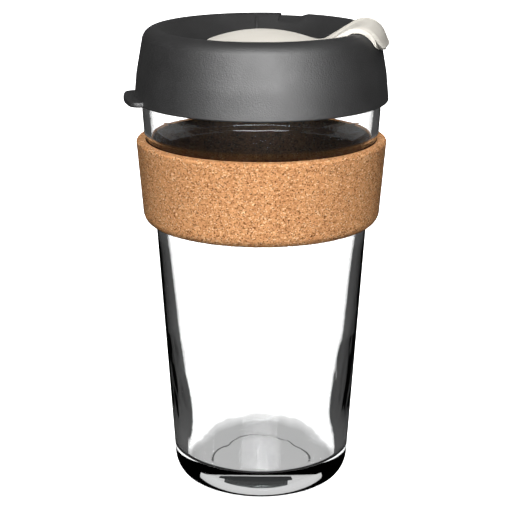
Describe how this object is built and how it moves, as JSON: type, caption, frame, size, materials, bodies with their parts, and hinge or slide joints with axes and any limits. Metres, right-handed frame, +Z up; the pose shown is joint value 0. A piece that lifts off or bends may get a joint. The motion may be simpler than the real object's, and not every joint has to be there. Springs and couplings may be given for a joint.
{
  "type": "glass travel cup with cork band and swivel-plug lid",
  "caption": "Clear pressed-glass travel cup with a cork grip band, a dark press-on lid with a finger tab, and a pale domed plug whose hooked arm swivels over the sip opening.",
  "frame": {"origin": "on the cup's axis, in the plane that the foot ring stands on", "axes": "+Z up along the cup's axis, towards the lid; +X to the viewer's right and -Y to the viewer; the lid's finger tab is on the -X side"},
  "size_m": [0.0916, 0.0878, 0.1668],
  "materials": {
    "glass": "clear pressed glass, polished",
    "cork": "agglomerated cork, sanded, matte",
    "lid": "fine satin moulded polypropylene, dark grey",
    "plug": "soft satin elastomer, cream"
  },
  "bodies": {
    "cup": {"glass_cup": "glass"},
    "band": {"cork_band": "cork"},
    "lid": {"lid": "lid"},
    "plug": {"swivel_plug": "plug"}
  },
  "joints": [
    {"name": "lid_lift", "type": "slide", "parent": "cup", "child": "lid", "axis": [0, 0, 1], "range_m": [0, 0.05]},
    {"name": "band_slide", "type": "slide", "parent": "cup", "child": "band", "axis": [0, 0, -1], "range_m": [0, 0.09]},
    {"name": "plug_swivel", "type": "hinge", "parent": "lid", "child": "plug", "pos_m": [0, 0, 0.16], "axis": [0, 0, 1], "range_deg": [-226, 71]}
  ]
}
